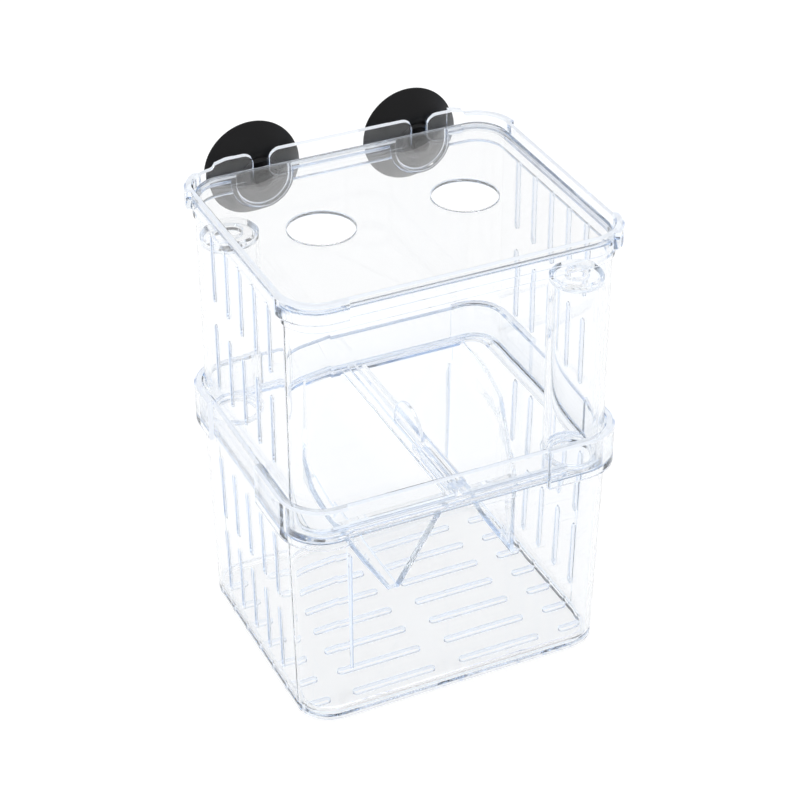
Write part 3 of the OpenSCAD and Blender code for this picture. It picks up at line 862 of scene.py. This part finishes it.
# %% [markdown]
# ## The ridge bar
# A bar lies over the front half of the joint between the troughs, with a thin web that drops
# between them and a round tab to lift it by. Bar, web and tab are three rounded plates joined to
# one solid.

# %% Ridge bar
BAR_HALF = BAR_HIGH[0]
BAR_H = 3.4
TAB_R = 12.6
TAB_Y = BAR_HIGH[1] - TAB_R
TAB_HALF = 0.75
WEB_DROP = 5.0
bar_back = TAB_Y - TAB_R + 2
BAR_TOP = TRAY_TOP + BAR_H
WEB_LOW = TRAY_TOP - WEB_DROP
bar_section = filleted([(-BAR_HALF, TRAY_TOP + SEAT, 0.3), (BAR_HALF, TRAY_TOP + SEAT, 0.3),
                        (BAR_HALF, BAR_TOP, 1.0), (-BAR_HALF, BAR_TOP, 1.0)], True)
web_section = filleted([(-TAB_HALF, WEB_LOW, 0.3), (TAB_HALF, WEB_LOW, 0.3),
                        (TAB_HALF, TRAY_TOP + 1, 0), (-TAB_HALF, TRAY_TOP + 1, 0)], True)
ridge_bar = new_object("ridge_bar_with_tab", prism(bar_section, BAR_LOW[1], bar_back, (0, 2, 1)))
tab_angle = np.linspace(math.radians(-7.3), math.radians(187.3), 60)
tab_outline = TAB_R * np.stack([np.cos(tab_angle), np.sin(tab_angle)], 1)
tab_rows = [(-0.5, -TAB_HALF), (-0.15, -TAB_HALF + 0.15), (0, -TAB_HALF + 0.5),
            (0, TAB_HALF - 0.5), (-0.15, TAB_HALF - 0.15), (-0.5, TAB_HALF)]
tab = lofted([tab_outline * (1 + g / TAB_R) for g, _ in tab_rows], [h for _, h in tab_rows],
             (1, 2, 0), (0, TAB_Y, TRAY_TOP))
add(ridge_bar, [prism(web_section, BAR_LOW[1] + 0.1, bar_back - 0.2, (0, 2, 1)), tab])
finish(ridge_bar, "ridge_bar", "clear_insert", "ridge_bar")

# %% [markdown]
# ## The riser tubes
# Rising air bubbles carry water up these two tubes. Each is a turned shape: one closed profile of
# radius and height, spun about the tube's axis, with a thick top that shows as a pale ring.

# %% Riser tubes
TUBE_WALL = 1.5
TUBE_TOP_T = 3.0
AIR_R = 4.0
BORE_R = TUBE_R - TUBE_WALL
BORE_TOP = TUBE_HIGH[2] - TUBE_TOP_T
tube_profile = filleted([
    (BORE_R, TUBE_LOW[2], 0.3), (TUBE_R, TUBE_LOW[2], 0.3), (TUBE_R, TUBE_HIGH[2], 0.8),
    (AIR_R, TUBE_HIGH[2], 0.6), (AIR_R, BORE_TOP, 0.4), (BORE_R, BORE_TOP, 0.8)], True)
for name, node, sign in (("riser_tube_rear_turned", "riser_tube_rear", 1),
                         ("riser_tube_front_turned", "riser_tube_front", -1)):
    tube = new_object(name, moved(spun(tube_profile, 80, True), (sign * TUBE_X, sign * TUBE_Y, 0)))
    finish(tube, "upper_box", "clear_insert", node)

# %% [markdown]
# ## The suction cups
# A cup is one piece of soft rubber: a head inside the wall, a neck in the slot, a hub, and a disc
# that flares out to a thin edge. It is spun as well, about the axis that points at the tank.

# %% Suction cups
CUP_R = (CUP_HIGH[0] - CUP_LOW[0]) / 2 - 0.01
HEAD_R = 3.7
NECK_R = 2.9
HUB_R = 7.5
HEAD_Y = CUP_LOW[1]
HEAD_L = 3.3
CUP_RIM_Y = CUP_HIGH[1]
HUB_Y = HEAD_Y + HEAD_L + 1.9
CUP_HOLLOW = 3.6
EDGE_T = 0.8


def flare_curve(start, end, steps):
    """A quarter wave from start to end: the depth grows as 1 - cos of 90 degrees times the way."""
    way = np.linspace(0, 1, steps)
    return np.stack([start[0] + (end[0] - start[0]) * way,
                     start[1] + (end[1] - start[1]) * (1 - np.cos(way * math.pi / 2))], 1)


def cup_profile():
    """Half section of the cup as (radius, depth), from the head's middle to the hollow's."""
    front = filleted([(0.02, HEAD_Y, 0), (HEAD_R, HEAD_Y, 1.3), (HEAD_R, HEAD_Y + HEAD_L, 0.4),
                      (NECK_R, HEAD_Y + HEAD_L, 0.2), (NECK_R, HUB_Y, 0.3), (HUB_R, HUB_Y, 0.9),
                      (HUB_R, HUB_Y + 1.6, 0)])[:-1]
    back = flare_curve((HUB_R, HUB_Y + 1.5), (CUP_R - 0.15, CUP_RIM_Y - EDGE_T), 26)
    lip = [(CUP_R, CUP_RIM_Y - EDGE_T + 0.2), (CUP_R, CUP_RIM_Y - 0.15), (CUP_R - 0.15, CUP_RIM_Y)]
    hollow = flare_curve((0.02, CUP_RIM_Y - CUP_HOLLOW), (CUP_R - EDGE_T, CUP_RIM_Y), 22)[::-1]
    return np.vstack([front, back, lip, hollow])


for name, node, body, x in (
        ("suction_cup_left_moulding", "suction_cup_left", "cup_left", CUPS[0]),
        ("suction_cup_right_moulding", "suction_cup_right", "cup_right", CUPS[1])):
    points, faces = spun(cup_profile(), 96)
    placed = np.stack([points[:, 0] + x, points[:, 2], points[:, 1] + CUP_Z], 1)
    cup = new_object(name, (placed, faces))
    finish(cup, body, "black_rubber", node)

# %% [markdown]
# ## Writing shader maths
# A material is a graph of small sums. To keep it readable, a socket is wrapped so that it can be
# added and multiplied like a number, and one method makes any other node from its kind, its
# settings and its values.

# %% Shader graph
class Wire:
    """A socket that takes part in sums; each sum adds one Math node to its graph."""

    def __init__(self, graph, socket):
        self.graph = graph
        self.socket = socket

    def math(self, operation, first, second):
        return self.graph.add("ShaderNodeMath", {"operation": operation}, {0: first, 1: second})

    def __add__(self, other):
        return self.math("ADD", self, other)

    def __radd__(self, other):
        return self.math("ADD", other, self)

    def __sub__(self, other):
        return self.math("SUBTRACT", self, other)

    def __rsub__(self, other):
        return self.math("SUBTRACT", other, self)

    def __mul__(self, other):
        return self.math("MULTIPLY", self, other)

    def __rmul__(self, other):
        return self.math("MULTIPLY", other, self)

    def clamped(self, low, high):
        return self.math("MINIMUM", self.math("MAXIMUM", self, low), high)


class Graph:
    """The node tree of a material or world, emptied.

    One method adds any node: its settings are set first, then its sockets' values or links.
    """

    def __init__(self, owner):
        owner.use_nodes = True
        self.tree = owner.node_tree
        self.tree.nodes.clear()

    def add(self, kind, settings=None, values=None, out=0):
        node = self.tree.nodes.new(kind)
        for name, value in (settings or {}).items():
            setattr(node, name, value)
        for key, value in (values or {}).items():
            if isinstance(value, Wire):
                self.tree.links.new(value.socket, node.inputs[key])
            else:
                node.inputs[key].default_value = value
        return Wire(self, node.outputs[out]) if len(node.outputs) else node

    def seen_rays(self, kinds=("Is Camera Ray", "Is Glossy Ray", "Is Transmission Ray")):
        """One where a ray comes from the camera or by way of gloss or clear plastic, else zero."""
        rays = self.add("ShaderNodeLightPath").socket.node
        total = Wire(self, rays.outputs[kinds[0]])
        for kind in kinds[1:]:
            total = total + Wire(self, rays.outputs[kind])
        return total.clamped(0, 1)


def noise(graph, place, scale, detail=2.0, stretch=(1, 1, 1)):
    """Noise from 0 to 1 at a scale per metre, over coordinates that may be stretched."""
    vector = graph.add("ShaderNodeMapping", {}, {"Vector": place, "Scale": stretch})
    return graph.add("ShaderNodeTexNoise", {}, {"Vector": vector, "Scale": scale,
                                                "Detail": detail}, "Fac")


# %% [markdown]
# ## Edges that shine
# In a photograph of clear plastic the flats vanish, and the small curves along rims and slots
# shine pale, because each of them gathers the light of half the room. A renderer could find that
# by refraction alone, but with curves of a fraction of a millimetre it draws hard dark lines
# instead. So the faces on such curves are marked here with a number, and the plastic below is
# made nearly a mirror there. A face on a tight curve is found from the mesh itself, and a face
# that lines a slot from its place.

# %% Marking the edges
EDGE_RADIUS = 0.0015
FACING = 0.97
MARGIN = 0.6


def in_slots(centre, normal, rows):
    """Which faces line the slots: inside a slot's outline with a margin, and not facing out.

    A wall slot is found by the distance of y from the nearest whole pitch and of z from its row,
    a floor slot by y and by how far x lies from the middle of its strip.
    """
    x, y, z = np.abs(centre[:, 0]), centre[:, 1], centre[:, 2]
    off = np.abs(y - SLOT_PITCH * np.round(y / SLOT_PITCH))
    near_row = np.min(np.abs(z[:, None] - np.array(rows)), axis=1) < SLOT_HALF_L + MARGIN
    wall = ((x > BODY_W / 2 - WALL - MARGIN - DRAFT_X) & near_row
            & (off < SLOT_HALF_W + MARGIN) & (np.abs(y) < SLOTS_IN_ROW / 2 * SLOT_PITCH)
            & (np.abs(normal[:, 0]) < FACING))
    in_strip = ((np.abs(x - (MID_STRIP + MID_SLOT) / 2) < MID_SLOT / 2 + MARGIN)
                | (np.abs(x - END_X) < END_SLOT / 2 + MARGIN))
    floor_slot = ((z < WALL + MARGIN) & (z > -MARGIN) & in_strip & (off < FLOOR_HALF_W + MARGIN)
                  & (np.abs(y) < FLOOR_ROWS / 2 * SLOT_PITCH) & (np.abs(normal[:, 2]) < FACING))
    return wall | floor_slot


def mark_edges(piece, rows):
    """Stores 1 on the faces along tight curves and slots and 0 elsewhere, as the attribute edge.

    Across the side that it shares with a neighbour, a face's width is its area over that side's
    length, and its radius of curvature is that width over the angle between the two normals.
    A face lies on a tight curve where this radius is below EDGE_RADIUS for some neighbour.
    """
    mesh = piece.data
    faces = len(mesh.polygons)
    area = read(mesh.polygons, "area")
    normal = read(mesh.polygons, "normal", 3)
    places = read(mesh.vertices, "co", 3)
    ends = read(mesh.edges, "vertices", 2, int)
    long = np.linalg.norm(places[ends[:, 0]] - places[ends[:, 1]], axis=1)
    face_of = np.repeat(np.arange(faces), read(mesh.polygons, "loop_total", 1, int))
    edge_of = read(mesh.loops, "edge_index", 1, int)
    order = np.argsort(edge_of, kind="stable")
    first, second = face_of[order[:-1]], face_of[order[1:]]
    shared = edge_of[order[:-1]] == edge_of[order[1:]]
    first, second, side = first[shared], second[shared], long[edge_of[order[:-1]][shared]]
    side = np.maximum(side, 1e-9)
    angle = np.arccos(np.clip((normal[first] * normal[second]).sum(1), -1, 1)) + 1e-6
    radius = np.full(faces, 1.0)
    np.minimum.at(radius, first, area[first] / side / angle)
    np.minimum.at(radius, second, area[second] / side / angle)
    edge = radius < EDGE_RADIUS
    if rows:
        edge |= in_slots(read(mesh.polygons, "center", 3) / MM, normal, rows)
    layer = mesh.attributes.new("edge", "FLOAT", "FACE")
    layer.data.foreach_set("value", edge.astype(np.float32))
    return int(edge.sum())


# %% [markdown]
# ## Clear plastic
# Polystyrene is almost perfectly clear through a thin wall and turns pale blue only over a long
# way, as in a rim seen along its length. So the surface is plain glossy transmission, and the tint
# is a weak absorption in the volume, strongest for red. The mould leaves very faint upright waves,
# which the bump gives, and handling leaves haze that only touches the roughness. On the marked
# faces the metallic value turns the surface into a slightly blue and soft mirror.

# %% Clear plastic
EDGE_MIRROR = 0.85
EDGE_FROST = 0.05
EDGE_TINT = (0.9, 0.94, 1.0, 1.0)
WAVES_PER_M = 46
SCUFFS_PER_M = 380
LEAST_ROUGH = 0.012
HAZE = 0.12


def clear_plastic(name, tint, density, transmission, ior):
    """Transmission with a moulded ripple; tint is what the volume absorbs towards.

    Roughness is least + haze * (scuff - 0.52 where above zero) + frost on the edges, and the
    colour goes from white to the edges' tint with the mirror's share.
    """
    material = bpy.data.materials.new(name)
    graph = Graph(material)
    place = graph.add("ShaderNodeTexCoord", out="Object")
    ripple = noise(graph, place, WAVES_PER_M, 2, (1, 1, 0.12))
    scuff = noise(graph, place, SCUFFS_PER_M, 4)
    edge = graph.add("ShaderNodeAttribute", {"attribute_name": "edge"}, {}, "Fac")
    mirror = edge * EDGE_MIRROR
    rough = (scuff - 0.52).clamped(0, 1) * HAZE + edge * EDGE_FROST + LEAST_ROUGH
    bump = graph.add("ShaderNodeBump", {}, {"Strength": 0.12, "Distance": 0.0006,
                                            "Height": ripple})
    colour = graph.add("ShaderNodeMix", {"data_type": "RGBA"}, {
        0: mirror, 6: (1.0, 1.0, 1.0, 1.0), 7: EDGE_TINT}, 2)
    surface = graph.add("ShaderNodeBsdfPrincipled", {}, {
        "Base Color": colour, "Roughness": rough, "IOR": ior,
        "Metallic": mirror, "Transmission Weight": transmission, "Normal": bump})
    volume = graph.add("ShaderNodeVolumeAbsorption", {}, {"Color": tint, "Density": density})
    graph.add("ShaderNodeOutputMaterial", {}, {"Surface": surface, "Volume": volume})
    return material


BLUE = (0.42, 0.68, 0.97, 1.0)
clear_box = clear_plastic("clear_box", BLUE, 10.0, 0.978, 1.42)
clear_insert = clear_plastic("clear_insert", BLUE, 2.5, 0.998, 1.22)
clear_lid = clear_plastic("clear_lid", BLUE, 5.0, 0.9, 1.42)

# %% [markdown]
# ## Black rubber
# The cups are black but not dark holes: soft rubber scatters a little light at its skin, so they
# have a broad satin sheen. A fine grain and slow stains in the roughness break the reflection.

# %% Black rubber
GRAIN_PER_M = 2600
STAINS_PER_M = 90


def black_rubber():
    """Near black with a satin skin, a fine grain and slow changes of roughness."""
    material = bpy.data.materials.new("black_rubber")
    graph = Graph(material)
    place = graph.add("ShaderNodeTexCoord", out="Object")
    grain = noise(graph, place, GRAIN_PER_M, 3)
    stain = noise(graph, place, STAINS_PER_M, 3)
    rough = stain * 0.22 + 0.24
    colour = graph.add("ShaderNodeMix", {"data_type": "RGBA"}, {
        0: stain, 6: (0.003, 0.003, 0.004, 1), 7: (0.008, 0.008, 0.009, 1)}, 2)
    bump = graph.add("ShaderNodeBump", {}, {"Strength": 0.25, "Distance": 0.00008,
                                            "Height": grain})
    surface = graph.add("ShaderNodeBsdfPrincipled", {}, {
        "Base Color": colour, "Roughness": rough, "Specular IOR Level": 0.2, "Normal": bump})
    graph.add("ShaderNodeOutputMaterial", {}, {"Surface": surface})
    return material


rubber = black_rubber()

# %% [markdown]
# ## Each piece gets its finish
# The slot that a piece names in the record also says which finish it wears.

# %% Finishes
SLOT_ROWS = {lower_box.name: lower_rows, upper_box.name: upper_rows}
FINISH = {"clear_box": clear_box, "clear_lid": clear_lid, "clear_insert": clear_insert,
          "black_rubber": rubber}
for piece in [o for o in bpy.data.objects if "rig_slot" in o]:
    piece.data.materials.clear()
    piece.data.materials.append(FINISH[piece["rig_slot"]])
    marked = mark_edges(piece, SLOT_ROWS.get(piece.name))

# %% [markdown]
# ## Floor, light and background
# Clear plastic shows what surrounds it. A pale floor and a white sky make the walls vanish, as in
# the photograph, and a bluish belt just above the horizon, which the camera never sees directly,
# draws the lines along the edges: only light that a rim bends far aside comes from there. The
# floor glows more for the rays that the camera sees, straight or through the plastic, than for
# the light that it gives the object. Soft lamps at a plain level shape the rubber and leave a
# faint shadow on the floor.

# %% Floor
FLOOR_HALF = 6.0
FLOOR_Z = -0.0002
FLOOR_GLOW = 0.62
FLOOR_SEEN = 0.81
FLOOR_PAINT = 0.42
floor_mesh = bpy.data.meshes.new("floor")
floor_mesh.from_pydata([(FLOOR_HALF * x, FLOOR_HALF * y, FLOOR_Z)
                        for x, y in ((-1, -1), (1, -1), (1, 1), (-1, 1))], [], [(0, 1, 2, 3)])
floor = bpy.data.objects.new("floor", floor_mesh)
bpy.context.scene.collection.objects.link(floor)
floor_material = bpy.data.materials.new("floor")
graph = Graph(floor_material)
seen = graph.seen_rays()
glow = graph.add("ShaderNodeMix", {"data_type": "RGBA"}, {
    0: seen, 6: (FLOOR_GLOW, FLOOR_GLOW, FLOOR_GLOW, 1),
    7: (FLOOR_SEEN, FLOOR_SEEN, FLOOR_SEEN, 1)}, 2)
floor_surface = graph.add("ShaderNodeBsdfPrincipled", {}, {
    "Base Color": (FLOOR_PAINT, FLOOR_PAINT, FLOOR_PAINT, 1), "Roughness": 1.0,
    "Specular IOR Level": 0.0, "Emission Color": glow, "Emission Strength": 1.0})
graph.add("ShaderNodeOutputMaterial", {}, {"Surface": floor_surface})
floor_mesh.materials.append(floor_material)

# %% World
SKY_FILL = 0.62
BELT = (0.66, 0.72, 0.85, 1)
world = bpy.data.worlds.new("studio")
bpy.context.scene.world = world
graph = Graph(world)
path = graph.seen_rays(("Is Camera Ray",))
bent = graph.seen_rays(("Is Glossy Ray", "Is Transmission Ray"))
direction = graph.add("ShaderNodeTexCoord", out="Generated")
height = graph.add("ShaderNodeSeparateXYZ", {}, {"Vector": direction}, "Z")
ramp = graph.add("ShaderNodeMapRange", {"interpolation_type": "SMOOTHSTEP"}, {
    "Value": height, "From Min": 0.06, "From Max": 0.24, "To Min": 0.0, "To Max": 1.0})
belt = graph.add("ShaderNodeMix", {"data_type": "RGBA"}, {0: ramp, 6: BELT, 7: (1, 1, 1, 1)}, 2)
seen_by_glass = graph.add("ShaderNodeBackground", {}, {"Color": belt, "Strength": 1.0})
fill = graph.add("ShaderNodeBackground", {}, {"Color": (1, 1, 1, 1), "Strength": SKY_FILL})
plain = graph.add("ShaderNodeBackground", {}, {"Color": (1, 1, 1, 1), "Strength": 1.0})
lit = graph.add("ShaderNodeMixShader", {}, {0: bent, 1: fill, 2: seen_by_glass})
shown = graph.add("ShaderNodeMixShader", {}, {0: path, 1: lit, 2: plain})
graph.add("ShaderNodeOutputWorld", {}, {"Surface": shown})


# %% Lamps
def soft_lamp(name, place, size, power):
    """A square area lamp at a place in metres that looks at the middle of the box."""
    light = bpy.data.lights.new(name, "AREA")
    light.shape = "SQUARE"
    light.size = size
    light.energy = power
    lamp = bpy.data.objects.new(name, light)
    aim = np.array([0, 0, 0.1]) - np.array(place)
    turn = math.atan2(aim[0], -aim[1])
    tilt = math.atan2(math.hypot(aim[0], aim[1]), -aim[2])
    lamp.matrix_world = (Matrix.Translation(place) @ Matrix.Rotation(turn + math.pi, 4, "Z")
                         @ Matrix.Rotation(-tilt, 4, "X"))
    bpy.context.scene.collection.objects.link(lamp)
    facing = lamp.matrix_world.to_3x3() @ Matrix.Identity(3).col[2]
    print(name, "faces", [round(-v, 2) for v in facing])
    return lamp


soft_lamp("key_lamp", (-0.9, -0.5, 1.2), size=0.8, power=3.2)
soft_lamp("fill_lamp", (1.2, -0.6, 0.9), size=0.8, power=1.6)
soft_lamp("top_lamp", (0.1, 0.4, 1.5), size=1.0, power=2.6)

# %% [markdown]
# ## Enough bounces
# On its way through the box a ray crosses a dozen surfaces and more. With few bounces it would
# end inside and leave a black spot, so many are allowed. Colours are shown as they are written.

# %% Rendering
BOUNCES = 64
scene = bpy.context.scene
scene.view_settings.view_transform = "Standard"
scene.cycles.max_bounces = BOUNCES
scene.cycles.transmission_bounces = BOUNCES
scene.cycles.glossy_bounces = BOUNCES
scene.cycles.transparent_max_bounces = 16

# %% [markdown]
# ## A last update
# The view layer is brought up to date once more.

# %% Last update
bpy.context.view_layer.update()
